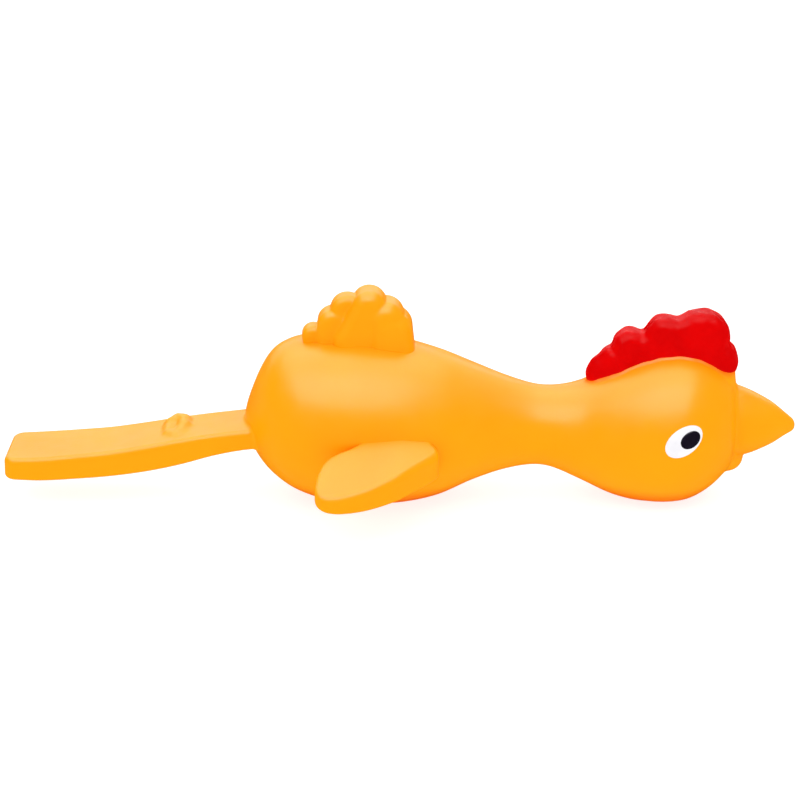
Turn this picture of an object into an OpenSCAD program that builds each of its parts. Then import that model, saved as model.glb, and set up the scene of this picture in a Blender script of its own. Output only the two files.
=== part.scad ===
// Finger-slingshot rubber chicken: a soft moulded bird whose head fits over a fingertip and whose
// strap tail is pulled back and let go. +X runs to the beak, +Z is up, and the origin lies on the
// table under the middle of the toy. All sizes are in millimetres.

/* [Body] */
// Largest diameter of the body
body_d = 23.9; // [23:0.1:25]
// Diameter of the neck at its waist
neck_d = 11.2; // [10:0.1:12]
// Largest diameter of the head
head_d = 21.8; // [21:0.1:23]
// Depth of the flat moulded under the belly and the head
belly_flat = 0.8; // [0.5:0.1:1]

/* [Finger pocket] */
// Bore of the pocket in the underside of the head
pocket_d = 11; // [10:0.5:13]
// Depth of the pocket, from the table to its floor
pocket_depth = 10; // [8:0.5:12]
// Distance of the pocket's axis in front of the origin
pocket_x = 36.5; // [35.5:0.5:37.5]

/* [Strap tail] */
// Width of the strap at its grip end
strap_w = 10.4; // [9:0.1:12]
// Thickness of the strap where it is thickest
strap_t = 3.9; // [3:0.1:4.3]
// Corner radius of the strap's end
strap_corner = 1.6; // [1:0.1:3]
// Height of the aiming spur above the strap
spur_h = 1.2; // [0.8:0.1:1.6]

/* [Wings] */
// Tip-to-tip span of the wings
wing_span = 44; // [42:0.5:46]
// Thickness of a wing at its front end
wing_t = 3.8; // [3:0.1:4]
// Droop of a wing below the horizontal, in degrees
wing_droop = 22; // [18:1:26]

/* [Comb and tail fan] */
// Thickness of the comb
comb_t = 4.6; // [4:0.1:6]
// Thickness of the feather fan on the back
fan_t = 6.1; // [5:0.1:7]

/* [Eyes] */
// Length of the white of an eye
eye_l = 5.7; // [5:0.1:6]
// Height of the white of an eye
eye_h = 3.7; // [3.3:0.1:4.2]
// Tilt of an eye towards the beak, in degrees
eye_tilt = 35; // [20:1:45]
// Thickness of each printed layer
paint_t = 0.15; // [0.1:0.05:0.2]

/* [Hidden] */

YELLOW = "#fda80f";
RED = "#d90806";
WHITE = "#e4e2e6";
BLACK = "#0d0411";

$fn = 48;
round_steps = 32;       // points round a section of the skin
torso_steps = 22;       // stretches of the torso's loft, which are shorter towards the rump
rump_bias = 1.35;
beak_steps = 10;        // stretches of the beak's loft, which are shorter towards its tip
tip_bias = 0.75;
grip_steps = 10;        // stretches of the strap's free end, which are shorter towards the end
grip_bias = 1.8;
feather_steps = 24;     // points round a feather's rim
far = 100;              // longer than any part of the toy

body_r = body_d / 2;
neck_r = neck_d / 2;
head_r = head_d / 2;
body_z = body_r - belly_flat;
head_z = head_r - belly_flat;
neck_z = 10.1;

// Where the moulding is cut into rigid parts and the rubber that bends or stretches between them
torso_front = 10;
waist_rear = 20.5;
waist_front = 22.5;
head_rear = 28;
root_rear = -25.5;
band_front = -33.5;
band_rear = -47;
toy_end = 55;

// Sections of the one skin from the rump to the face: [x, radius, height of the centre]
SKIN = [
    [-21.4, 0.08 * body_r, body_z + 0.1],
    [-20.8, 0.26 * body_r, body_z + 0.2],
    [-19.7, 0.475 * body_r, body_z + 0.6],
    [-18.2, 0.67 * body_r, body_z + 1],
    [-15, 0.87 * body_r, body_z + 0.85],
    [-12.5, 0.94 * body_r, body_z + 0.55],
    [-8.3, 0.99 * body_r, body_z + 0.05],
    [-5.6, body_r, body_z],
    [0, 0.96 * body_r, body_z - 0.3],
    [5, 0.86 * body_r, body_z - 0.5],
    [10, 0.69 * body_r, body_z - 0.35],
    [13.3, 0.577 * body_r, body_z - 0.35],
    [16.7, 1.07 * neck_r, neck_z + 0.2],
    [20, neck_r, neck_z],
    [23.3, 1.12 * neck_r, neck_z - 0.2],
    [26.7, 0.69 * head_r, head_z - 0.8],
    [30, 0.84 * head_r, head_z - 0.7],
    [33.3, 0.945 * head_r, head_z - 0.3],
    [36.7, head_r, head_z],
    [40, 0.972 * head_r, head_z + 0.3],
    [43.3, 0.822 * head_r, head_z + 0.6],
    [45, 0.68 * head_r, head_z + 0.75],
    [46.2, 0.53 * head_r, head_z + 0.8]
];

// Sections of the strap from inside the rump to its free end: [x, half width, half thickness, height]
STRAP = [
    [-55, 0.5 * strap_w, 0.41 * strap_t, 5.4],
    [-50, 0.515 * strap_w, 0.44 * strap_t, 5.4],
    [-45, 0.5 * strap_w, 0.47 * strap_t, 5.7],
    [-40, 0.48 * strap_w, 0.49 * strap_t, 6.1],
    [-35, 0.465 * strap_w, 0.5 * strap_t, 6.85],
    [-30, 0.445 * strap_w, 0.49 * strap_t, 7.8],
    [-26, 0.43 * strap_w, 0.42 * strap_t, 8.65],
    [-22, 0.425 * strap_w, 0.385 * strap_t, 9.3],
    [-18, 0.425 * strap_w, 0.385 * strap_t, 9.7]
];

// Sections of the beak from inside the face to its tip: [x, radius, height of the centre]
BEAK = [
    [44.5, 5.2, 10.9],
    [46.2, 5.15, 10.85],
    [48.3, 4.6, 10.65],
    [50, 3.85, 10.55],
    [51.7, 2.9, 10.45],
    [53.3, 1.75, 10.3],
    [54.4, 0.95, 10.15],
    [55, 0.3, 10.05]
];
beak_width = 0.92;      // a beak section's width, as a share of its height

lobe_edge = 1.5;        // largest radius round the rim of a lobe

// Lobes of the comb: [x, height, radius], and the plate that they stand on
COMB_LOBES = [
    [28.7, 17.7, 3],
    [30.1, 18.9, 3.1],
    [31.9, 21.8, 2.55],
    [36.6, 23.6, 2.65],
    [41.7, 23.2, 3.85],
    [44.1, 20, 2.65]
];
COMB_FOOT = [
    [25.9, 16.4], [27, 18.2], [29.7, 21.6], [33.9, 23.9], [38.8, 25.6], [43, 23], [45.4, 20.8],
    [46.3, 18.6], [46.4, 15.5], [44, 13], [28, 13]
];

// Feathers of the fan, rear to front: [x and height of the tip, x and height of the root, radius at
// the tip, radius at the root, thickness as a share of the thickest]
FEATHERS = [
    [-11.9, 23.5, -11.2, 20, 1.65, 1.9, 0.5],
    [-9.1, 25.3, -9.3, 20, 2.3, 2.5, 0.67],
    [-7.2, 27.2, -8.2, 21, 2.4, 2.2, 0.55],
    [-4.2, 28, -5.9, 23, 2.4, 3.5, 0.92],
    [-1.9, 26.3, -1.6, 22, 2.5, 2.9, 1],
    [-0.9, 24.7, -0.95, 20.5, 2.65, 3.15, 1]
];

// Leaf outline of a wing, in plan: [x, distance from the toy's middle plane]
wing_tip_y = wing_span / 2;
WING = [
    [3, 9.5],
    [4.7, 10.7],
    [5.3, 11.9],
    [4.8, 13],
    [2.4, wing_tip_y - 6.4],
    [0, wing_tip_y - 4.1],
    [-2.2, wing_tip_y - 2.6],
    [-4.4, wing_tip_y - 1.4],
    [-6.7, wing_tip_y - 0.5],
    [-8.9, wing_tip_y],
    [-10.5, wing_tip_y - 0.2],
    [-11.5, wing_tip_y - 1.2],
    [-11.5, 18.9],
    [-10.95, 16.4],
    [-9.9, 14.6],
    [-8.5, 13.5],
    [-6.9, 12.7],
    [-5.5, 11.7],
    [-4, 10.2],
    [-1, 9]
];
wing_centre = [-3.3, 15.5];
wing_top = 1.74;        // height of a wing's upper face above its bending line
wing_thinning = 0.14;   // how much thinner a wing gets per millimetre towards the rear
nose_x = 0.3;           // where a wing's upper face starts to dip towards its front end
nose_slope = 0.27;
nose_blend = 0.5;
hinge_y = 13.2;         // distance of a wing's bending line from the middle plane
hinge_z = 10;           // height of a wing's bending line
hinge_reach = 1.2;      // half the length of rubber that bends at a wing's root
root_inside = 3;        // how far the bending rubber runs on into the body
// A wing from its upper to its lower face: [height in thicknesses, share of the outline]
wing_layers = [
    [0.5, 0.5], [0.5, 0.93], [0.46, 0.98], [0.36, 1],
    [-0.36, 1], [-0.46, 0.98], [-0.5, 0.93], [-0.5, 0.5]
];

// Two swellings that make up the spur: [x, y, half length, half width, share of the spur's height]
SPUR = [
    [-30.9, 1.9, 1.5, 1.8, 1],
    [-31.2, -0.7, 1.45, 1.9, 0.55]
];

// The small chin under the beak
CHIN = [45.6, 0, 5.5];
chin_radii = [2.2, 2.6, 2.1];

eye_x = 38.95;
eye_z = 11.8;
pupil_l = 0.525 * eye_l;
pupil_h = 0.62 * eye_h;
// How far the pupil lies from the white's middle, along and across the eye
pupil_shift = [0.154 * eye_l, -0.077 * eye_h];

// Slope through station i of a list of stations, for column k
function slope(list, i, k) =
    let (a = max(i - 1, 0), b = min(i + 1, len(list) - 1))
    (list[b][k] - list[a][k]) / (list[b][0] - list[a][0]);

// The stretch of a list of stations that holds x
function stretch(list, x, i = 0) =
    i >= len(list) - 2 || x <= list[i + 1][0] ? i : stretch(list, x, i + 1);

// Column k of a list of stations at x, on a smooth curve through the stations
function along(list, x, k) =
    let (
        i = stretch(list, x),
        gap = list[i + 1][0] - list[i][0],
        t = (x - list[i][0]) / gap,
        s = t * t * (3 - 2 * t)
    )
    (1 - s) * list[i][k] + s * list[i + 1][k]
    + gap * t * (1 - t) * ((1 - t) * slope(list, i, k) - t * slope(list, i + 1, k));

// A round section of a skin at x, standing off the surface by grow
function round_ring(list, x, grow = 0, width = 1) =
    let (r = along(list, x, 1) + grow, z = along(list, x, 2))
    [for (i = [0:round_steps - 1])
        let (a = 360 * i / round_steps)
        [x, width * r * sin(a), z + r * cos(a)]];

// A rounded-rectangle section of the strap at x, drawn in over the corners of the free end
strap_steps = 20;
strap_square = 0.4;     // 1 would make the section an ellipse, and 0 a rectangle
strap_end_thins = 0.35; // how much thinner the end gets for each millimetre it is drawn in
function rounded(v) = sign(v) * pow(abs(v), strap_square);
function corner_inset(x) =
    let (u = min(1, max(0, (strap_corner - toy_end - x) / strap_corner)))
    strap_corner * (1 - sqrt(1 - u * u));
function strap_ring(x) =
    let (
        w = along(STRAP, x, 1) - corner_inset(x),
        t = along(STRAP, x, 2) - strap_end_thins * corner_inset(x),
        z = along(STRAP, x, 3)
    )
    [for (i = [0:strap_steps - 1])
        let (a = 360 * i / strap_steps)
        [x, w * rounded(sin(a)), z + t * rounded(cos(a))]];

// A closed smooth curve through the points of an outline, with n points to each stretch
function closed_curve(points, n) =
    let (m = len(points))
    [for (i = [0:m - 1])
        let (
            a = points[(i + m - 1) % m],
            b = points[i],
            c = points[(i + 1) % m],
            d = points[(i + 2) % m]
        )
        for (j = [0:n - 1])
            let (t = j / n)
            b + 0.5 * t * (c - a)
            + t * t * (a - 2.5 * b + 2 * c - 0.5 * d)
            + t * t * t * (1.5 * (b - c) + 0.5 * (d - a))];

// The middle of a ring of points
function middle(ring) = [for (k = [0:2]) [for (p = ring) 1] * [for (p = ring) p[k]] / len(ring)];

// Values from a to b in n steps, drawn towards a when bias is above 1
function spread(a, b, n, bias = 1) = [for (i = [0:n]) a + (b - a) * pow(i / n, bias)];

// A closed solid through a list of rings with the same number of points each, which run clockwise
// as seen from the last ring's side. Ends that aren't flat are closed by triangles to their middles
module loft(rings, flat_ends = true) {
    n = len(rings[0]);
    last = len(rings) - 1;
    middles = n * len(rings);
    sides = [
        for (k = [0:last - 1])
            for (i = [0:n - 1])
                let (j = (i + 1) % n, a = k * n, b = a + n)
                each [[a + i, b + j, b + i], [a + i, a + j, b + j]]
    ];
    flat = [[for (i = [0:n - 1]) n - 1 - i], [for (i = [0:n - 1]) last * n + i]];
    bent = [
        for (i = [0:n - 1])
            let (j = (i + 1) % n)
            each [[middles, j, i], [middles + 1, last * n + i, last * n + j]]
    ];
    polyhedron(
        concat([for (ring = rings) each ring], flat_ends ? [] : [middle(rings[0]), middle(rings[last])]),
        concat(flat_ends ? flat : bent, sides)
    );
}

// The skin between two places along the toy, before its flats are cut
module skin(from, to, n, grow = 0, bias = 1) {
    loft([for (x = spread(from, to, n, bias)) round_ring(SKIN, x, grow)]);
}

module above_table() {
    intersection() {
        children();
        translate([-far, -far, 0])
            cube(2 * far);
    }
}

module strap(from, to, n, bias = 1) {
    loft([for (x = spread(from, to, n, bias)) strap_ring(x)]);
}

// A disc with a rounded rim
module lobe(radius, thickness) {
    edge = min(lobe_edge, radius, thickness / 2);
    rotate_extrude() {
        translate([0, -thickness / 2])
            square([radius - edge, thickness]);
        translate([0, edge - thickness / 2])
            square([radius, thickness - 2 * edge]);
        for (side = [-1, 1])
            translate([radius - edge, side * (thickness / 2 - edge)])
                intersection() {
                    circle(edge);
                    translate([0, -edge])
                        square([edge, 2 * edge]);
                }
    }
}

// A disc standing in the toy's middle plane
module standing_lobe(x, height, radius, thickness) {
    translate([x, 0, height])
        rotate([90, 0, 0])
            lobe(radius, thickness);
}

module right_side(mirrored) {
    if (mirrored)
        mirror([0, 1, 0])
            children();
    else
        children();
}

// Height of a wing's upper face at a point of its plan, and its thickness there
function wing_dip(x) =
    nose_slope / 2 * (x - nose_x + sqrt(pow(x - nose_x, 2) + nose_blend));
function wing_upper(p) =
    hinge_z + wing_top - wing_dip(p[0]) - tan(wing_droop) * (p[1] - hinge_y);
function wing_thickness(x) = wing_t + wing_thinning * min(x, 0);

// One whole wing on the right side, with upright sides, from inside the body to its tip
module whole_wing() {
    outline = closed_curve(WING, 2);
    loft(
        [for (layer = wing_layers)
            [for (p = outline)
                let (q = wing_centre + layer[1] * (p - wing_centre))
                [q[0], -q[1], wing_upper(q) + (layer[0] - 0.5) * wing_thickness(q[0])]]],
        flat_ends = false
    );
}

// The slab of space from one distance to another outside a wing's bending line
module beyond_hinge(from, to) {
    translate([0, -hinge_y, hinge_z])
        rotate([wing_droop, 0, 0])
            translate([-far, -to, -far])
                cube([2 * far, to - from, 2 * far]);
}

module wing(mirrored) {
    color(YELLOW)
        right_side(mirrored)
            intersection() {
                whole_wing();
                beyond_hinge(hinge_reach, far);
            }
}

module wing_root(mirrored) {
    color(YELLOW)
        right_side(mirrored)
            difference() {
                intersection() {
                    whole_wing();
                    beyond_hinge(-hinge_reach - root_inside, hinge_reach);
                }
                torso_skin();
            }
}

module torso_skin() {
    skin(SKIN[0][0], torso_front, torso_steps, bias = rump_bias);
}

module torso() {
    color(YELLOW)
        above_table()
            torso_skin();
}

module tail_fan() {
    color(YELLOW)
        difference() {
            for (f = FEATHERS)
                hull() {
                    standing_lobe(f[0], f[1], f[4], f[6] * fan_t, $fn = feather_steps);
                    standing_lobe(f[2], f[3], f[5], f[6] * fan_t, $fn = feather_steps);
                }
            torso_skin();
        }
}

module neck_rear() {
    color(YELLOW)
        skin(torso_front, waist_rear, 6);
}

module neck_waist() {
    color(YELLOW)
        skin(waist_rear, waist_front, 2);
}

module neck_front_skin() {
    skin(waist_front, head_rear, 4);
}

module neck_front() {
    color(YELLOW)
        neck_front_skin();
}

module head_skin(grow = 0) {
    skin(head_rear, SKIN[len(SKIN) - 1][0], 14, grow);
}

module head() {
    color(YELLOW)
        above_table()
            difference() {
                head_skin();
                translate([pocket_x, 0, -far])
                    cylinder(d = pocket_d, h = far + pocket_depth);
            }
}

module comb() {
    color(RED)
        difference() {
            union() {
                rotate([90, 0, 0])
                    linear_extrude(comb_t, center = true)
                        polygon(COMB_FOOT);
                for (lobe_at = COMB_LOBES)
                    standing_lobe(lobe_at[0], lobe_at[1], lobe_at[2], comb_t);
            }
            head_skin();
            neck_front_skin();
        }
}

module beak_skin() {
    loft([for (x = spread(BEAK[0][0], toy_end, beak_steps, tip_bias)) round_ring(BEAK, x, 0, beak_width)]);
}

module upper_beak() {
    color(YELLOW)
        difference() {
            beak_skin();
            head_skin();
        }
}

module lower_beak() {
    color(YELLOW)
        difference() {
            translate(CHIN)
                scale(chin_radii)
                    sphere(1, $fn = 32);
            head_skin();
            beak_skin();
        }
}

// A printed patch of an eye: an ellipse laid on the side of the head, between two depths of paint
module eye_patch(mirrored, length, height, shift, from, to) {
    right_side(mirrored)
        difference() {
            intersection() {
                head_skin(to);
                translate([eye_x, 0, eye_z])
                    rotate([90, 0, 0])
                        rotate([0, 0, eye_tilt])
                            translate([shift[0], shift[1], 0])
                                scale([length / 2, height / 2, 1])
                                    cylinder(r = 1, h = far);
            }
            head_skin(from);
        }
}

module eye_white(mirrored) {
    color(WHITE)
        eye_patch(mirrored, eye_l, eye_h, [0, 0], 0, paint_t);
}

module pupil(mirrored) {
    color(BLACK)
        eye_patch(mirrored, pupil_l, pupil_h, pupil_shift, paint_t, 2 * paint_t);
}

module tail_root() {
    color(YELLOW)
        difference() {
            strap(root_rear, STRAP[len(STRAP) - 1][0], 6);
            torso_skin();
        }
}

module tail_pad() {
    color(YELLOW)
        strap(band_front, root_rear, 4);
}

module tail_spur() {
    color(YELLOW)
        difference() {
            for (s = SPUR)
                translate([s[0], s[1], along(STRAP, s[0], 3) + along(STRAP, s[0], 2)])
                    scale([s[2], s[3], s[4] * spur_h])
                        sphere(1, $fn = 24);
            tail_pad();
        }
}

module tail_band() {
    color(YELLOW)
        strap(band_rear, band_front, 6);
}

module tail_grip() {
    color(YELLOW)
        strap(-toy_end, band_rear, grip_steps, grip_bias);
}

torso();
tail_fan();
neck_rear();
neck_waist();
neck_front();
head();
comb();
upper_beak();
lower_beak();
eye_white(false);  // eye_white_right
eye_white(true);  // eye_white_left
pupil(false);  // pupil_right
pupil(true);  // pupil_left
wing_root(false);  // wing_root_right
wing_root(true);  // wing_root_left
wing(false);  // wing_right
wing(true);  // wing_left
tail_root();
tail_pad();
tail_spur();
tail_band();
tail_grip();
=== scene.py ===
"""Looks of the finger-slingshot rubber chicken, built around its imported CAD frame.

Lengths inside the shape functions are millimetres, and every mesh is turned into metres when it is
made. Each moulded piece is a distance field, negative inside, that is meshed, drawn onto its exact
surface and closed. +X runs to the beak, -Y is the chicken's right side, and the table is at z = 0.
"""
import math

import bmesh
import bpy
import numpy as np
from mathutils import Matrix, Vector


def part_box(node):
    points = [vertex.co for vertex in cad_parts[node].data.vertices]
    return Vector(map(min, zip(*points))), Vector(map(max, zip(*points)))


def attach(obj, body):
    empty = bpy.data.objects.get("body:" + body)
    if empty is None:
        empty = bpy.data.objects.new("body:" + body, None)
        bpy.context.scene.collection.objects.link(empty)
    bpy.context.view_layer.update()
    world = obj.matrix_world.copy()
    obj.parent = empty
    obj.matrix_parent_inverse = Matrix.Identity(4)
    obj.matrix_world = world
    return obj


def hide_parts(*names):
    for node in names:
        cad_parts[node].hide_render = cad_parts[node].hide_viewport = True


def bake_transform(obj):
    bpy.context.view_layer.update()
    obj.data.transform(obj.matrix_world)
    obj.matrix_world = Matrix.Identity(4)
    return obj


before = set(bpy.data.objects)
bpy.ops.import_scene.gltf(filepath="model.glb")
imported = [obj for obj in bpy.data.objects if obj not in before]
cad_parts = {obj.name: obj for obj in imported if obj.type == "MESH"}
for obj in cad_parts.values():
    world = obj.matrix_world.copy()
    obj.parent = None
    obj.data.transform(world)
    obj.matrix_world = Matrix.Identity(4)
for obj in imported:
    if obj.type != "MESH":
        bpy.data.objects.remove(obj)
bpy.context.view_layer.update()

MM = 0.001
RIGHT, LEFT = -1, 1


def box_mm(node):
    """A CAD node's lowest and highest corners, in millimetres."""
    low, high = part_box(node)
    return np.array(low) / MM, np.array(high) / MM


# ---------------------------------------------------------------- driving sizes, from the frame

TORSO_LOW, TORSO_HIGH = box_mm("torso")
HEAD_LOW, HEAD_HIGH = box_mm("head")
COMB_LOW, COMB_HIGH = box_mm("comb")

BODY_R = (TORSO_HIGH[1] - TORSO_LOW[1]) / 2
HEAD_R = (HEAD_HIGH[1] - HEAD_LOW[1]) / 2
NECK_R = 5.6
FLAT = 0.8                        # depth of the flats under the belly and the head
BODY_Z = BODY_R - FLAT
HEAD_Z = HEAD_R - FLAT
NECK_Z = 10.1
TOY_END = box_mm("upper_beak")[1][0]
STRAP_END = box_mm("tail_grip")[0][0]
WING_TIP_Y = box_mm("wing_left")[1][1]

NECK_SEAM = 21.5                  # where the body's skin ends and the head's begins
TAIL_SEAM = -26.0                 # where the strap's root ends and the strap begins
TUCK = 0.04                       # how far one skin dips under the next one
ROOT_DEPTH = 0.8                  # how far the fan and the wings run on into the body
COMB_STEP, FAN_STEP, FINE, MEDIUM = 0.16, 0.17, 0.2, 0.26   # spacing of the meshes' points


# ---------------------------------------------------------------- curves along the toy

def through(stations, column):
    """Smooth curve of a column of the stations over x, as a function of x."""
    table = np.array(stations, float)
    knots, values = table[:, 0], table[:, column]
    slopes = np.gradient(values, knots)
    fine = np.arange(knots[0], knots[-1] + 0.025, 0.05)
    i = np.clip(np.searchsorted(knots, fine, side="right") - 1, 0, len(knots) - 2)
    gap = knots[i + 1] - knots[i]
    t = (fine - knots[i]) / gap
    s = t * t * (3 - 2 * t)
    curve = (1 - s) * values[i] + s * values[i + 1]
    curve += gap * t * (1 - t) * ((1 - t) * slopes[i] - t * slopes[i + 1])
    spread = np.arange(-24, 25)
    weights = np.exp(-0.5 * (spread / 9) ** 2)
    padded = np.pad(curve, 24, mode="reflect", reflect_type="odd")
    soft = np.convolve(padded, weights / weights.sum(), mode="valid")
    return lambda x: np.interp(x, fine, soft)


# Sections of the body, neck and head: [x, radius, height of the centre]
SKIN = [
    [-26, 0, BODY_Z + 0.1],
    [-21.5, 0, BODY_Z + 0.1],
    [-20.8, 0.26 * BODY_R, BODY_Z + 0.2],
    [-19.7, 0.475 * BODY_R, BODY_Z + 0.6],
    [-18.2, 0.67 * BODY_R, BODY_Z + 1.0],
    [-15, 0.87 * BODY_R, BODY_Z + 0.85],
    [-12.5, 0.94 * BODY_R, BODY_Z + 0.55],
    [-8.3, 0.988 * BODY_R, BODY_Z + 0.1],
    [-5.6, BODY_R, BODY_Z],
    [0, 0.962 * BODY_R, BODY_Z - 0.3],
    [5, 0.862 * BODY_R, BODY_Z - 0.5],
    [10, 0.69 * BODY_R, BODY_Z - 0.4],
    [15, 1.15 * NECK_R, BODY_Z - 0.6],
    [20, NECK_R, NECK_Z],
    [25, 0.633 * HEAD_R, HEAD_Z - 0.7],
    [30, 0.844 * HEAD_R, HEAD_Z - 0.65],
    [33.3, 0.945 * HEAD_R, HEAD_Z - 0.3],
    [36.7, HEAD_R, HEAD_Z],
    [40, 0.972 * HEAD_R, HEAD_Z + 0.3],
    [43.3, 0.822 * HEAD_R, HEAD_Z + 0.6],
    [45, 0.68 * HEAD_R, HEAD_Z + 0.75],
    [46.2, 0.53 * HEAD_R, HEAD_Z + 0.8],
    [46.9, 0, HEAD_Z + 0.8],
    [52, 0, HEAD_Z + 0.8],
]
BEAK = [
    [38, 0, 10.9],
    [40.5, 3.4, 10.9],
    [42.5, 4.7, 10.9],
    [44.5, 5.2, 10.9],
    [46.2, 5.15, 10.85],
    [48.3, 4.6, 10.65],
    [50, 3.85, 10.55],
    [51.7, 2.95, 10.45],
    [53.3, 1.75, 10.3],
    [54.4, 0.95, 10.15],
    [TOY_END + 0.15, 0, 10.05],
    [TOY_END + 3, 0, 10],
]
# Sections of the strap: [x, half width, half thickness, height of the centre]
STRAP = [
    [-58, 5.2, 1.6, 5.38],
    [-55, 5.2, 1.6, 5.38],
    [-50, 5.35, 1.72, 5.38],
    [-45, 5.2, 1.82, 5.68],
    [-40, 5.0, 1.9, 6.1],
    [-35, 4.85, 1.97, 6.83],
    [-30, 4.65, 1.9, 7.8],
    [-26, 4.5, 1.65, 8.65],
    [-22, 4.45, 1.5, 9.3],
    [-17, 4.45, 1.5, 9.8],
]


def squared(stations):
    """Stations with the radius squared, and falling below nothing past an end of the skin."""
    rows = [[x, r * r, z] for x, r, z in stations]
    if stations[0][1] == 0:
        rows[0][1] = -12 * (stations[1][0] - stations[0][0])
    if stations[-1][1] == 0:
        rows[-1][1] = -12 * (stations[-1][0] - stations[-2][0])
    return rows


class Round:
    """A skin with round sections, wider or narrower than high by the share `width`."""

    def __init__(self, stations, width=1.0):
        rows = squared(stations)
        self.square = through(rows, 1)
        self.centre = through(rows, 2)
        self.width = width

    def distance(self, x, y, z):
        step = 0.05
        lift = z - self.centre(x)
        across = y / self.width
        ring = across * across + lift * lift
        slope = (self.square(x + step) - self.square(x - step)) / (2 * step)
        slope = slope + lift * (self.centre(x + step) - self.centre(x - step)) / step
        steep = np.sqrt(4 * ring + slope * slope)
        return (ring - self.square(x)) / np.maximum(steep, 1.5)


CHICKEN = Round(SKIN)
BEAK_CONE = Round(BEAK, width=0.92)
STRAP_WIDTH, STRAP_THICK, STRAP_Z = (through(STRAP, column) for column in (1, 2, 3))


# ---------------------------------------------------------------- distance fields

def smooth_min(a, b, soft):
    """Both shapes as one, with a fillet about half of soft in radius where they meet."""
    meet = np.maximum(soft - np.abs(a - b), 0) / soft
    return np.minimum(a, b) - meet * meet * soft / 4


def smooth_max(a, b, soft):
    return -smooth_min(-a, -b, soft)


def egg(x, y, z, centre, radii):
    """Ellipsoid, with its distance right near the surface."""
    parts = [(p - c) / r for p, c, r in zip((x, y, z), centre, radii)]
    k0 = np.sqrt(sum(p * p for p in parts))
    k1 = np.sqrt(sum((p / r) ** 2 for p, r in zip(parts, radii)))
    return k0 * (k0 - 1) / np.maximum(k1, 1e-4)


def finger(x, y, z, a, b, radius_a, radius_b):
    """A cone with round ends from a to b."""
    axis = np.array(b, float) - np.array(a, float)
    along = sum((p - q) * d for p, q, d in zip((x, y, z), a, axis)) / (axis @ axis)
    t = np.clip(along, 0, 1)
    away = np.sqrt(sum((p - q - t * d) ** 2 for p, q, d in zip((x, y, z), a, axis)))
    return away - (radius_a + t * (radius_b - radius_a))


def slab(flat_distance, half, height, edge):
    """An outline given a thickness of two halves, with edges rounded by edge."""
    out = np.maximum(flat_distance + edge, 0)
    up = np.maximum(np.abs(height) - half + edge, 0)
    inside = np.minimum(np.maximum(flat_distance + edge, np.abs(height) - half + edge), 0)
    return np.sqrt(out * out + up * up) + inside - edge


def outline_distance(u, v, points):
    """Signed distance in a plane to a closed outline, negative inside."""
    nearest = np.full(np.broadcast(u, v).shape, 1e9)
    inside = np.zeros(nearest.shape, bool)
    for (ax, ay), (bx, by) in zip(points, np.roll(points, -1, axis=0)):
        ex, ey = bx - ax, by - ay
        t = np.clip(((u - ax) * ex + (v - ay) * ey) / (ex * ex + ey * ey), 0, 1)
        nearest = np.minimum(nearest, (u - ax - t * ex) ** 2 + (v - ay - t * ey) ** 2)
        if ay != by:
            crosses = ((ay > v) != (by > v)) & (u < ax + (v - ay) * ex / ey)
            inside = inside ^ crosses
    return np.where(inside, -1, 1) * np.sqrt(nearest)


def closed_curve(points, n):
    """A smooth closed curve through points, n to each stretch."""
    p = np.array(points, float)
    before, after, beyond = np.roll(p, 1, 0), np.roll(p, -1, 0), np.roll(p, -2, 0)
    rows = []
    for t in np.arange(n) / n:
        rows.append(
            p
            + 0.5 * t * (after - before)
            + t * t * (before - 2.5 * p + 2 * after - 0.5 * beyond)
            + t ** 3 * (1.5 * (p - after) + 0.5 * (beyond - before))
        )
    return np.stack(rows, 1).reshape(-1, 2)


# ---------------------------------------------------------------- from a field to a mesh

def edge_corners(axis):
    """The four grid edges of a cell that run along axis, as the cell corner where each starts."""
    others = [k for k in range(3) if k != axis]
    for i in (0, 1):
        for j in (0, 1):
            corner = [0, 0, 0]
            corner[others[0]], corner[others[1]] = i, j
            yield corner


def crossed_cells(inside):
    """Which grid cells have corners on both sides of the surface."""
    shape = [n - 1 for n in inside.shape]
    total = np.zeros(shape, np.int8)
    for i, j, k in np.ndindex(2, 2, 2):
        total += inside[i:i + shape[0], j:j + shape[1], k:k + shape[2]]
    return (total > 0) & (total < 8)


def cell_points(values, cells):
    """One point in each crossed cell, at the middle of the cuts through its edges."""
    place, hits = np.zeros((len(cells), 3)), np.zeros(len(cells))
    for axis in range(3):
        for corner in edge_corners(axis):
            a = cells + corner
            b = a.copy()
            b[:, axis] += 1
            va, vb = values[tuple(a.T)], values[tuple(b.T)]
            cuts = (va < 0) != (vb < 0)
            point = np.array(corner, float) + np.zeros((len(cells), 3))
            point[:, axis] += va / np.where(cuts, va - vb, 1)
            place[cuts] += point[cuts]
            hits[cuts] += 1
    return cells + place / hits[:, None]


def axis_quads(inside, number, axis):
    """A quad round each grid edge along an axis that the surface cuts, turned to face outward."""
    u, v = (axis + 1) % 3, (axis + 2) % 3
    low = [slice(1, -1)] * 3
    low[axis] = slice(0, -1)
    high = list(low)
    high[axis] = slice(1, None)
    at = np.argwhere(inside[tuple(low)] != inside[tuple(high)])
    at += [0 if k == axis else 1 for k in range(3)]
    corners = []
    for du, dv in ((-1, -1), (0, -1), (0, 0), (-1, 0)):
        cell = at.copy()
        cell[:, u] += du
        cell[:, v] += dv
        corners.append(number[tuple(cell.T)])
    quad = np.stack(corners, 1)
    inward = ~inside[tuple(at.T)]
    quad[inward] = quad[inward][:, ::-1]
    return quad


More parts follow.
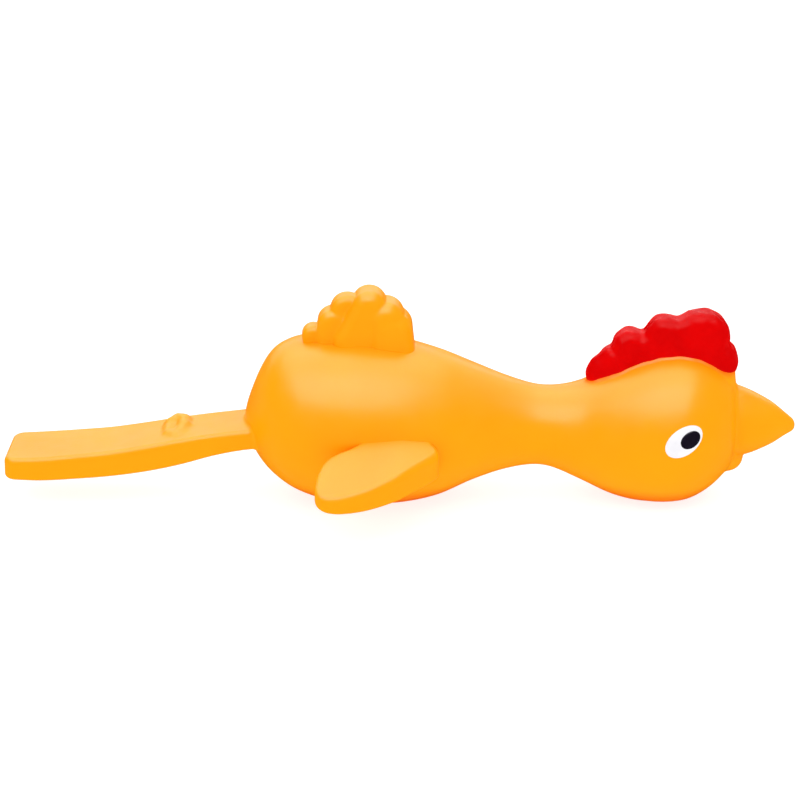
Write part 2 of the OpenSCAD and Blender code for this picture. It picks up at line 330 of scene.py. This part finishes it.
def surface_net(values):
    """Points and quads of the surface where the values on a grid change sign, in grid steps."""
    inside = values < 0
    crossed = crossed_cells(inside)
    number = np.full(crossed.shape, -1)
    number[crossed] = np.arange(crossed.sum())
    points = cell_points(values, np.argwhere(crossed))
    return points, np.concatenate([axis_quads(inside, number, axis) for axis in range(3)])


def gradient(field, p, step=0.04):
    """Direction and size of the steepest rise of a field at points."""
    sides = []
    for axis in range(3):
        shift = np.zeros(3)
        shift[axis] = step
        ahead, behind = (p + shift).T, (p - shift).T
        sides.append((field(*ahead) - field(*behind)) / (2 * step))
    return np.stack(sides, 1)


def onto_surface(field, p, turns=3):
    for _ in range(turns):
        g = gradient(field, p)
        size = np.maximum((g * g).sum(1), 0.05)
        p = p - np.clip(field(*p.T) / size, -0.3, 0.3)[:, None] * g
    return p


def evened(p, quads):
    """Each point moved halfway to the middle of its neighbours."""
    edges = np.concatenate([quads[:, [k, (k + 1) % 4]] for k in range(4)])
    total, count = np.zeros_like(p), np.zeros(len(p))
    np.add.at(total, edges[:, 0], p[edges[:, 1]])
    np.add.at(total, edges[:, 1], p[edges[:, 0]])
    np.add.at(count, edges[:, 0], 1)
    np.add.at(count, edges[:, 1], 1)
    return 0.5 * p + 0.5 * total / np.maximum(count, 1)[:, None]


def mesh_of_field(name, field, low, high, step):
    """A closed smooth mesh of the surface of a field inside a box, as a new object."""
    axes = [np.arange(a, b + step, step) for a, b in zip(low, high)]
    x, y, z = np.meshgrid(*axes, indexing="ij", sparse=True)
    values = field(x, y, z) + np.zeros([len(a) for a in axes])
    points, quads = surface_net(values)
    p = np.array([a[0] for a in axes]) + points * step
    for _ in range(2):
        p = onto_surface(field, evened(p, quads), 2)
    p = onto_surface(field, p, 2)
    return new_mesh(name, p, quads.tolist())


def new_mesh(name, points, faces):
    mesh = bpy.data.meshes.new(name)
    mesh.from_pydata((np.asarray(points) * MM).tolist(), [], faces)
    mesh.polygons.foreach_set("use_smooth", [True] * len(mesh.polygons))
    mesh.update()
    piece = bpy.data.objects.new(name, mesh)
    bpy.context.scene.collection.objects.link(piece)
    return piece


def cut_off(piece, x, keep_above):
    """Cuts a piece with a plane across X, keeps one side of it and closes the cut with a flat face."""
    bm = bmesh.new()
    bm.from_mesh(piece.data)
    normal = (-1, 0, 0) if keep_above else (1, 0, 0)
    whole = bm.verts[:] + bm.edges[:] + bm.faces[:]
    cut = bmesh.ops.bisect_plane(
        bm, geom=whole, dist=1e-7, plane_co=(x * MM, 0, 0), plane_no=normal, clear_outer=True
    )
    rim = [e for e in cut["geom_cut"] if isinstance(e, bmesh.types.BMEdge)]
    for face in bmesh.ops.holes_fill(bm, edges=rim, sides=0)["faces"]:
        face.smooth = False
    for edge in rim:
        edge.smooth = False
    bm.to_mesh(piece.data)
    bm.free()


# ---------------------------------------------------------------- the moulded shapes

# Feathers of the fan on the back, rear to front, like overlapping cards: [x and height of the tip,
# x and height of the root, radius at the tip, radius at the root, half its thickness]
FEATHERS = [
    [-11.9, 23.5, -11.2, 20, 1.65, 1.9, 1.5],
    [-9.1, 25.3, -9.3, 20, 2.3, 2.5, 2.05],
    [-7.2, 27.2, -8.2, 21, 2.4, 2.2, 1.65],
    [-4.2, 28.0, -5.9, 23, 2.4, 3.5, 2.75],
    [-1.9, 26.3, -1.6, 22, 2.5, 2.9, 3.05],
    [-0.9, 24.7, -0.95, 20.5, 2.65, 3.15, 3.05],
]
FEATHER_LEAN = 0.07               # how much thicker a feather is towards its rear edge
FEATHER_EDGE = 0.6                # radius of a feather's rim, as a share of half its thickness


def feather_fan(x, y, z):
    fan = None
    for tip_x, tip_z, root_x, root_z, tip_r, root_r, half in FEATHERS:
        flat = finger(x, 0 * y, z, (tip_x, 0, tip_z), (root_x, 0, root_z), tip_r, root_r)
        thick = half + FEATHER_LEAN * np.clip(tip_x - x, -4, 4)
        one = slab(flat, thick, y, FEATHER_EDGE * half)
        fan = one if fan is None else smooth_min(fan, one, 0.2)
    return fan


# Round lobes of the comb: [x, height, radius], and the plate that they stand on
COMB_LOBES = [
    [28.7, 17.7, 3.0],
    [30.1, 18.9, 3.1],
    [31.9, 21.8, 2.55],
    [36.6, 23.6, 2.65],
    [41.7, 23.2, 3.85],
    [44.1, 20.0, 2.65],
]
COMB_FOOT = [
    [25.7, 16.4], [26.8, 18.4], [29.5, 21.9], [33.9, 24.1], [38.2, 25.7], [39.9, 26.55],
    [43, 23], [45.6, 20.8],
    [46.5, 18.6], [46.6, 15.5], [44, 13], [36, 15], [28, 14],
]
COMB_HALF = 2.3
COMB_EDGE = 1.5
COMB_REAR, COMB_TAPER = 25.5, 4.5  # where the comb starts, and how far its thinner end reaches
COMB_REAR_SHARE = 0.5             # thickness of the rear end, as a share of the rest
COMB_WAVE = 0.07                  # height of the uneven dabs on the comb


def comb_half(x):
    """Half the comb's thickness, which thins towards its rear end."""
    grown = (1 - COMB_REAR_SHARE) * np.clip((x - COMB_REAR) / COMB_TAPER, 0, 1)
    return COMB_HALF * (COMB_REAR_SHARE + grown)


def comb_plate(x, y, z, thinner=0.0):
    flat = outline_distance(x, z, np.array(COMB_FOOT, float))
    for lobe_x, lobe_z, radius in COMB_LOBES:
        lobe = np.sqrt((x - lobe_x) ** 2 + (z - lobe_z) ** 2) - radius
        flat = smooth_min(flat, lobe, 0.45)
    wave = np.sin(2.3 * x + 1.1 * y) * np.sin(1.9 * z - 0.8 * y + 1)
    return slab(flat + thinner, comb_half(x) - thinner, y, COMB_EDGE) + COMB_WAVE * wave


# Lower edge of the red paint: [x, height]
PAINT_LINE = [
    [20, 16.5], [25.5, 16.9], [27, 17.0], [28.4, 17.75], [30.9, 18.9], [33.3, 20.1], [35.4, 20.6],
    [38.3, 20.75], [41, 20.5], [43, 19.75], [44.6, 18.9], [45.7, 18.6], [46.6, 18.7], [52, 18.8],
]
PAINT_EDGE = through(PAINT_LINE, 1)


def red_comb(x, y, z):
    """The painted part of the comb, down to the paint's edge."""
    return smooth_max(comb_plate(x, y, z) - 0.03, PAINT_EDGE(x) - z, 0.12)


def above_table(field, z):
    return smooth_max(field, -z, 0.15)


CHIN = (45.6, 0, 5.5), (2.2, 2.6, 2.1)        # middle and radii
POCKET_R, POCKET_TOP, POCKET_X = 5.5, 10.0, 36.5
POCKET_EDGE = 2.2                 # radius of the rim of the pocket's top
POCKET_BELOW = 20                 # how far the pocket's tool starts below the table


def finger_pocket(x, y, z):
    flat = np.sqrt((x - POCKET_X) ** 2 + y * y) - POCKET_R
    return slab(flat, POCKET_TOP + POCKET_BELOW, z + POCKET_BELOW, POCKET_EDGE)


def head_skin(x, y, z):
    head = CHICKEN.distance(x, y, z)
    head = smooth_min(head, BEAK_CONE.distance(x, y, z), 0.55)
    head = smooth_min(head, egg(x, y, z, *CHIN), 0.7)
    head = smooth_min(head, comb_plate(x, y, z, thinner=0.05), 0.6)
    head = above_table(head, z)
    return smooth_max(head, -finger_pocket(x, y, z), 0.35)


def body_skin(x, y, z):
    dip = TUCK * np.clip((x - NECK_SEAM) / 0.3 + 0.2, 0, 1)
    return above_table(CHICKEN.distance(x, y, z), z) + dip


def rooted(field, x, y, z):
    """A piece that grows out of the body, cut off a little way under the body's skin."""
    return smooth_max(field, -CHICKEN.distance(x, y, z) - ROOT_DEPTH, 0.1)


def fan_skin(x, y, z):
    return rooted(feather_fan(x, y, z), x, y, z)


# A wing is a leaf with upright sides. Its upper face droops outward, and also dips at its front end
WING_DROOP = math.radians(22)
HINGE_Y, HINGE_Z = 13.2, 10.0
WING_TOP = 1.74                   # height of the upper face above the hinge line
WING_EDGE = 0.6
WING_HALF = 1.9                   # half the thickness of the front half of a wing
WING_THINNING = 0.07              # how much of that is lost per millimetre towards the rear
NOSE_X, NOSE_SLOPE, NOSE_SOFT = 0.3, 0.27, 0.5
WING = [
    [3.0, 9.5], [4.7, 10.7], [5.3, 11.9], [4.8, 13.0], [2.4, WING_TIP_Y - 6.4],
    [0, WING_TIP_Y - 4.1], [-2.2, WING_TIP_Y - 2.6], [-4.4, WING_TIP_Y - 1.4],
    [-6.7, WING_TIP_Y - 0.5], [-8.9, WING_TIP_Y], [-10.5, WING_TIP_Y - 0.2],
    [-11.5, WING_TIP_Y - 1.2], [-11.5, 18.9], [-10.95, 16.4], [-9.9, 14.6], [-8.5, 13.5],
    [-6.9, 12.7], [-5.5, 11.7], [-4, 10.2], [-1, 9],
]
WING_CURVE = closed_curve(WING, 4)


def wing_top(x, out):
    """Height of a wing's upper face, out from the middle plane."""
    nose = x - NOSE_X
    dip = 0.5 * NOSE_SLOPE * (nose + np.sqrt(nose * nose + NOSE_SOFT))
    return HINGE_Z + WING_TOP - dip - math.tan(WING_DROOP) * (out - HINGE_Y)


def wing_skin(side):
    def field(x, y, z):
        out = side * y
        half = WING_HALF + WING_THINNING * np.clip(x, -12, 0)
        height = (z - wing_top(x, out) + half) * math.cos(WING_DROOP)
        flat = outline_distance(x, out, WING_CURVE)
        leaf = slab(flat, half * math.cos(WING_DROOP), height, WING_EDGE)
        return rooted(leaf, x, y, z)
    return field


STRAP_CORNER, STRAP_EDGE = 1.6, 0.7
STRAP_SKEW = 0.09                 # how much shorter the strap is on its far side
# Crest of the spur on the strap, a kidney-shaped ring: [x, y, radius, height above the strap]
SPUR_CREST = [
    [-32.1, -1.2, 0.65, 0.3], [-32.1, 0.5, 0.7, 0.45], [-31.8, 2.0, 0.85, 0.8],
    [-30.9, 2.8, 0.95, 0.9], [-30.1, 2.1, 0.95, 0.95], [-30.0, 0.6, 0.8, 0.75],
    [-30.5, -0.8, 0.7, 0.45], [-31.3, -1.9, 0.65, 0.3],
]


def strap_plate(x, y, z):
    past_end = STRAP_END - x + STRAP_SKEW * (y + 5)
    past_side = np.abs(y) - STRAP_WIDTH(x)
    q, r = past_end + STRAP_CORNER, past_side + STRAP_CORNER
    corner = np.sqrt(np.maximum(q, 0) ** 2 + np.maximum(r, 0) ** 2)
    flat = corner + np.minimum(np.maximum(q, r), 0) - STRAP_CORNER
    return slab(flat, STRAP_THICK(x), z - STRAP_Z(x), STRAP_EDGE)


def spur(x, y, z):
    """A low kidney-shaped ring, higher towards the body."""
    ring = None
    for a, b in zip(SPUR_CREST, SPUR_CREST[1:] + SPUR_CREST[:1]):
        ends = [(px, py, STRAP_Z(px) + STRAP_THICK(px) + up - r) for px, py, r, up in (a, b)]
        one = finger(x, y, z, *ends, a[2], b[2])
        ring = one if ring is None else smooth_min(ring, one, 0.6)
    return ring


def strap_skin(x, y, z):
    return smooth_min(strap_plate(x, y, z), spur(x, y, z), 0.7)


def strap_root(x, y, z):
    strap = strap_plate(x, y, z)
    body = CHICKEN.distance(x, y, z) + TUCK
    dip = TUCK * np.clip((TAIL_SEAM - x) / 0.3 + 0.2, 0, 1)
    return smooth_max(smooth_min(strap, body, 0.8), strap - 0.8, 0.05) + dip


# ---------------------------------------------------------------- eyes

EYE_X, EYE_Z, EYE_TILT = 38.93, 11.8, math.radians(35)
EYE_HALF = (2.85, 1.87)
PUPIL_HALF = (1.5, 1.15)
PUPIL_SHIFT = (0.89, 0.27)


PRINT_RINGS, PRINT_SPOKES = 12, 72
PRINT_DEPTH = 0.12                # how far a print's back lies under the skin


def print_point(side, shift, half, share, turn, rise):
    """A point of an eye print, at a share of its size and a turn round it, above the head's skin."""
    cos, sin = math.cos(EYE_TILT), math.sin(EYE_TILT)
    u = half[0] * share * math.cos(turn)
    v = half[1] * share * math.sin(turn)
    x = EYE_X + shift[0] + u * cos - v * sin
    z = EYE_Z + shift[1] + u * sin + v * cos
    drop = z - float(CHICKEN.centre(x))
    depth = math.sqrt(float(CHICKEN.square(x)) - drop * drop)
    return x, side * (depth + rise), z


def print_sheet(side, shift, half, lift):
    """Points of one sheet, from its middle outward: domed by lift, or flat where lift is below 0."""
    points = []
    for ring in range(PRINT_RINGS + 1):
        share = math.sin(0.5 * math.pi * ring / PRINT_RINGS)
        rise = lift * math.sqrt(max(0, 1 - share ** 6)) if lift > 0 else lift
        for k in range(PRINT_SPOKES if ring else 1):
            turn = 2 * math.pi * k / PRINT_SPOKES
            points.append(print_point(side, shift, half, share, turn, rise))
    return points


def sheet_faces(base):
    """Faces of one sheet whose points start at base."""
    faces = []
    for ring in range(PRINT_RINGS):
        outer = base + 1 + ring * PRINT_SPOKES
        inner = outer - PRINT_SPOKES
        for k in range(PRINT_SPOKES):
            after = (k + 1) % PRINT_SPOKES
            if ring == 0:
                faces.append([base, outer + k, outer + after])
            else:
                faces.append([inner + k, outer + k, outer + after, inner + after])
    return faces


def eye_patch(name, side, shift, half, lift):
    """A printed patch with a rounded rim, laid on the side of the head, as a closed mesh."""
    points = print_sheet(side, shift, half, lift) + print_sheet(side, shift, half, -PRINT_DEPTH)
    per_sheet = len(points) // 2
    faces = sheet_faces(0) + [face[::-1] for face in sheet_faces(per_sheet)]
    rim = per_sheet - PRINT_SPOKES
    for k in range(PRINT_SPOKES):
        after = (k + 1) % PRINT_SPOKES
        faces.append([rim + after, rim + k, per_sheet + rim + k, per_sheet + rim + after])
    if side > 0:
        faces = [face[::-1] for face in faces]
    return new_mesh(name, points, faces)


# ---------------------------------------------------------------- materials

def material(name):
    made = bpy.data.materials.new(name)
    made.use_nodes = True
    return made, made.node_tree.nodes, made.node_tree.links


def noise(nodes, links, where, scale, detail=3.0, rough=0.5):
    """Noise at a scale in features per metre."""
    made = nodes.new("ShaderNodeTexNoise")
    made.inputs["Scale"].default_value = scale
    made.inputs["Detail"].default_value = detail
    made.inputs["Roughness"].default_value = rough
    links.new(where, made.inputs["Vector"])
    return made.outputs["Fac"]


def ramp(nodes, links, value, low, high, out_low, out_high):
    made = nodes.new("ShaderNodeMapRange")
    for name, number in (
        ("From Min", low), ("From Max", high), ("To Min", out_low), ("To Max", out_high)
    ):
        made.inputs[name].default_value = number
    links.new(value, made.inputs["Value"])
    return made.outputs["Result"]


def mixed(nodes, links, share, first, second):
    made = nodes.new("ShaderNodeMix")
    made.data_type = "RGBA"
    links.new(share, made.inputs["Factor"])
    for socket, colour in (("A", first), ("B", second)):
        target = [s for s in made.inputs if s.name == socket and s.type == "RGBA"][0]
        if isinstance(colour, tuple):
            target.default_value = (*colour, 1)
        else:
            links.new(colour, target)
    return [s for s in made.outputs if s.type == "RGBA"][0]


def bumped(nodes, links, heights):
    """Bumps on top of each other: pairs of a height and how deep it is in metres."""
    normal = None
    for height, depth in heights:
        made = nodes.new("ShaderNodeBump")
        made.inputs["Strength"].default_value = 1
        made.inputs["Distance"].default_value = depth
        links.new(height, made.inputs["Height"])
        if normal:
            links.new(normal, made.inputs["Normal"])
        normal = made.outputs["Normal"]
    return normal


def rubber():
    """Soft moulded rubber: orange-yellow, with cloudy pigment and a satin skin. It is tinted red below
    the comb as a painted reflection, and painted redder in nooks, creases and under the wings as
    painted shade.
    """
    made, nodes, links = material("chicken_rubber")
    shader = nodes["Principled BSDF"]
    place = nodes.new("ShaderNodeTexCoord").outputs["Object"]
    cloud = ramp(nodes, links, noise(nodes, links, place, 90), 0.3, 0.7, 0, 1)
    colour = mixed(nodes, links, cloud, (0.95, 0.32, 0.001), (0.97, 0.345, 0.0015))
    # Painted reflection: the rubber is tinted red just below the comb's paint edge, as if lit by light
    # bounced off the red comb.
    paint = nodes.new("ShaderNodeAttribute")
    paint.attribute_name = "painted_red_bounce"
    colour = mixed(nodes, links, paint.outputs["Fac"], colour, (0.95, 0.1, 0.004))
    # Painted shade: an Ambient Occlusion node makes the rubber redder where it is closed in, in nooks,
    # creases and under the wings.
    painted_nook_shade = nodes.new("ShaderNodeAmbientOcclusion")
    painted_nook_shade.samples = 12
    painted_nook_shade.inputs["Distance"].default_value = 0.006
    in_the_open = ramp(nodes, links, painted_nook_shade.outputs["AO"], 0.05, 0.6, 0, 1)
    colour = mixed(nodes, links, in_the_open, (0.94, 0.14, 0.0005), colour)
    links.new(colour, shader.inputs["Base Color"])
    rough = ramp(nodes, links, noise(nodes, links, place, 420, 4), 0.3, 0.7, 0.3, 0.38)
    links.new(rough, shader.inputs["Roughness"])
    shader.inputs["Specular IOR Level"].default_value = 0.06
    grain = noise(nodes, links, place, 3200, 2)
    waves = noise(nodes, links, place, 160, 2)
    normal = bumped(nodes, links, [(waves, 0.00012), (grain, 0.000012)])
    links.new(normal, shader.inputs["Normal"])
    return made


def comb_paint():
    """Red paint dabbed over the rubber: satin, a little thicker and shinier in patches."""
    made, nodes, links = material("comb_paint")
    shader = nodes["Principled BSDF"]
    place = nodes.new("ShaderNodeTexCoord").outputs["Object"]
    cloud = ramp(nodes, links, noise(nodes, links, place, 240, 3), 0.35, 0.65, 0, 1)
    colour = mixed(nodes, links, cloud, (0.58, 0.0004, 0.0008), (0.66, 0.0007, 0.001))
    links.new(colour, shader.inputs["Base Color"])
    rough = ramp(nodes, links, noise(nodes, links, place, 900, 3), 0.35, 0.65, 0.2, 0.34)
    links.new(rough, shader.inputs["Roughness"])
    shader.inputs["Specular IOR Level"].default_value = 0.011
    grain = noise(nodes, links, place, 1900, 3)
    brush = noise(nodes, links, place, 520, 2)
    normal = bumped(nodes, links, [(brush, 0.00005), (grain, 0.00002)])
    links.new(normal, shader.inputs["Normal"])
    return made


def eye_print(name, colour, other, rough):
    """Pad-printed ink with a thin gloss."""
    made, nodes, links = material(name)
    shader = nodes["Principled BSDF"]
    place = nodes.new("ShaderNodeTexCoord").outputs["Object"]
    cloud = ramp(nodes, links, noise(nodes, links, place, 700, 3), 0.35, 0.65, 0, 1)
    links.new(mixed(nodes, links, cloud, colour, other), shader.inputs["Base Color"])
    sheen = ramp(nodes, links, noise(nodes, links, place, 1500, 2), 0.3, 0.7, rough, rough + 0.1)
    links.new(sheen, shader.inputs["Roughness"])
    shader.inputs["Specular IOR Level"].default_value = 0.1
    grain = noise(nodes, links, place, 2600, 2)
    links.new(bumped(nodes, links, [(grain, 0.000008)]), shader.inputs["Normal"])
    return made


def floor_paper():
    made, nodes, links = material("floor_paper")
    shader = nodes["Principled BSDF"]
    place = nodes.new("ShaderNodeTexCoord").outputs["Object"]
    cloud = ramp(nodes, links, noise(nodes, links, place, 6, 3), 0.3, 0.7, 0, 1)
    colour = mixed(nodes, links, cloud, (0.35, 0.35, 0.35), (0.36, 0.36, 0.36))
    links.new(colour, shader.inputs["Base Color"])
    shader.inputs["Roughness"].default_value = 0.9
    shader.inputs["Specular IOR Level"].default_value = 0.1
    shader.inputs["Emission Color"].default_value = (1, 1, 1, 1)
    shader.inputs["Emission Strength"].default_value = 0.8
    return made


RUBBER = rubber()
COMB_PAINT = comb_paint()
EYE_WHITE = eye_print("eye_white", (0.77, 0.76, 0.8), (0.82, 0.81, 0.84), 0.35)
EYE_BLACK = eye_print("eye_black", (0.006, 0.004, 0.01), (0.01, 0.007, 0.015), 0.16)


def dress(piece, look, slot, *replaced):
    piece.data.materials.append(look)
    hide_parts(*replaced)
    return piece


def point(x, y=0.0, z=0.0):
    """Millimetres as a point in the row frame."""
    return (x * MM, y * MM, z * MM)


# ---------------------------------------------------------------- pieces

def add_painted_red_bounce(piece):
    """Marks the rubber next to the comb's paint for a red tint, a painted reflection of the red comb
    in the corner at its foot.
    """
    co = np.array([v.co for v in piece.data.vertices]) / MM
    x, y, z = co.T
    near = comb_plate(x, y, z)
    below = np.maximum(PAINT_EDGE(x) - z, 0)
    amount = np.exp(-(np.maximum(near, 0) / 0.35) ** 2) * np.exp(-(below / 0.55) ** 2)
    amount = np.where(z > 14, 0.6 * amount, 0)
    layer = piece.data.attributes.new("painted_red_bounce", "FLOAT", "POINT")
    layer.data.foreach_set("value", amount.astype(np.float32))


def make_body():
    low = (TORSO_LOW[0] - 1, -BODY_R - 1, -1)
    body = mesh_of_field("body_skin", body_skin, low, (NECK_SEAM + 2, BODY_R + 1, 33), MEDIUM)
    cut_off(body, NECK_SEAM + 0.8, keep_above=False)
    dress(body, RUBBER, "chicken_rubber", "torso", "neck_rear")
    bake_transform(body)


def make_fan():
    fan = mesh_of_field("fan_skin", fan_skin, (-15, -4.5, 19), (4, 4.5, 32), FAN_STEP)
    dress(fan, RUBBER, "chicken_rubber", "tail_fan")
    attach(fan, "torso")


def make_head():
    low = (NECK_SEAM - 1.5, -HEAD_R - 1, -1)
    head = mesh_of_field("head_skin", head_skin, low, (TOY_END + 1, HEAD_R + 1, 30), FINE)
    cut_off(head, NECK_SEAM, keep_above=True)
    add_painted_red_bounce(head)
    dress(
        head, RUBBER, "chicken_rubber",
        "neck_waist", "neck_front", "head", "upper_beak", "lower_beak",
    )
    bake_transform(head)


def make_comb():
    low, high = (COMB_LOW[0] - 1, -3.5, 15), (COMB_HIGH[0] + 1, 3.5, COMB_HIGH[2] + 1)
    comb = mesh_of_field("comb_skin", red_comb, low, high, COMB_STEP)
    dress(comb, COMB_PAINT, "comb_paint", "comb")
    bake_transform(comb)


def make_wing(side, name):
    near, far = sorted((side * 8, side * (WING_TIP_Y + 1)))
    low, high = (-13.5, near, 2), (8, far, 18)
    wing = mesh_of_field(f"{name}_skin", wing_skin(side), low, high, FINE)
    dress(wing, RUBBER, "chicken_rubber", name, name.replace("wing", "wing_root"))
    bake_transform(wing)


def make_strap():
    root = mesh_of_field("strap_root_skin", strap_root, (-28, -7, 4), (-17.5, 7, 14), FINE)
    cut_off(root, TAIL_SEAM - 0.6, keep_above=True)
    dress(root, RUBBER, "chicken_rubber", "tail_root")
    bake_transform(root)
    strap = mesh_of_field(
        "strap_skin", strap_skin, (STRAP_END - 1, -7, 2), (TAIL_SEAM + 1.5, 7, 13), FINE
    )
    cut_off(strap, TAIL_SEAM, keep_above=False)
    dress(
        strap, RUBBER, "chicken_rubber", "tail_pad", "tail_spur", "tail_band", "tail_grip"
    )
    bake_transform(strap)


def make_eye(side, word):
    white = eye_patch(f"eye_white_{word}_print", side, (0, 0), EYE_HALF, 0.07)
    dress(white, EYE_WHITE, "eye_white", f"eye_white_{word}")
    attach(white, "head")
    pupil = eye_patch(f"pupil_{word}_print", side, PUPIL_SHIFT, PUPIL_HALF, 0.17)
    dress(pupil, EYE_BLACK, "eye_black", f"pupil_{word}")
    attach(pupil, "head")


make_body()
make_fan()
make_head()
make_comb()
make_wing(RIGHT, "wing_right")
make_wing(LEFT, "wing_left")
make_strap()
make_eye(RIGHT, "right")
make_eye(LEFT, "left")


# ---------------------------------------------------------------- stage, light and camera

def make_floor():
    size = 3.0
    bm = bmesh.new()
    bmesh.ops.create_grid(bm, x_segments=8, y_segments=8, size=size)
    mesh = bpy.data.meshes.new("floor")
    bm.to_mesh(mesh)
    bm.free()
    floor = bpy.data.objects.new("floor", mesh)
    floor.location.z = -0.00002
    floor.data.materials.append(floor_paper())
    floor.visible_glossy = False
    bpy.context.scene.collection.objects.link(floor)


def make_panel(name, place, target, size, radiance, sheen):
    """A light panel that shows either in the sheen or in the even fill light."""
    data = bpy.data.lights.new(name, "AREA")
    data.shape = "RECTANGLE"
    data.size, data.size_y = size
    data.energy = radiance * math.pi * size[0] * size[1]
    lamp = bpy.data.objects.new(name, data)
    lamp.location = place
    lamp.rotation_euler = (Vector(target) - Vector(place)).to_track_quat("-Z", "Y").to_euler()
    lamp.visible_diffuse = not sheen
    lamp.visible_glossy = sheen
    bpy.context.scene.collection.objects.link(lamp)


def make_tent(radiance):
    """A box of five white panels round the toy for an even fill, a little stronger from above."""
    half, middle = 1.5, 0.75
    make_panel("tent_top", (0, 0, half), (0, 0, 0), (2 * half, 2 * half), 1.25 * radiance, False)
    for name, x, y in (("left", -1, 0), ("right", 1, 0), ("front", 0, -1), ("back", 0, 1)):
        place = (x * half, y * half, middle)
        make_panel(f"tent_{name}", place, (0, 0, middle), (2 * half, half), radiance, False)


def make_world():
    world = bpy.data.worlds.new("studio")
    world.use_nodes = True
    world.node_tree.nodes["Background"].inputs["Color"].default_value = (0, 0, 0, 1)
    bpy.context.scene.world = world


def make_camera():
    """The photograph's view: level with the toy's length, from 22 degrees above it."""
    elevation, distance, framed = math.radians(22), 0.7, 0.1111
    target = Vector((0, 0, 13.77 * MM))
    data = bpy.data.cameras.new("camera")
    data.sensor_width = 36
    data.lens = data.sensor_width * distance / framed
    data.clip_start, data.clip_end = 0.01, 20
    camera = bpy.data.objects.new("camera", data)
    away = Vector((0, -math.cos(elevation), math.sin(elevation)))
    camera.location = target + away * distance
    camera.rotation_euler = (-away).to_track_quat("-Z", "Y").to_euler()
    bpy.context.scene.collection.objects.link(camera)
    bpy.context.scene.camera = camera


make_floor()
make_panel("front_softbox", (-0.1, -0.47, 0.6), (-0.1, -0.47, 0), (0.9, 0.74), 26.5, True)
make_panel("top_softbox", (-0.1, 0.25, 0.6), (-0.1, 0.25, 0), (0.9, 0.7), 15.2, True)
make_panel("rear_softbox", (-0.1, 1.2, 0.7), (-0.1, 0, 0.7), (2.0, 1.0), 3.9, True)
make_tent(1.08)
make_world()
make_camera()
bpy.context.scene.view_settings.view_transform = "Standard"
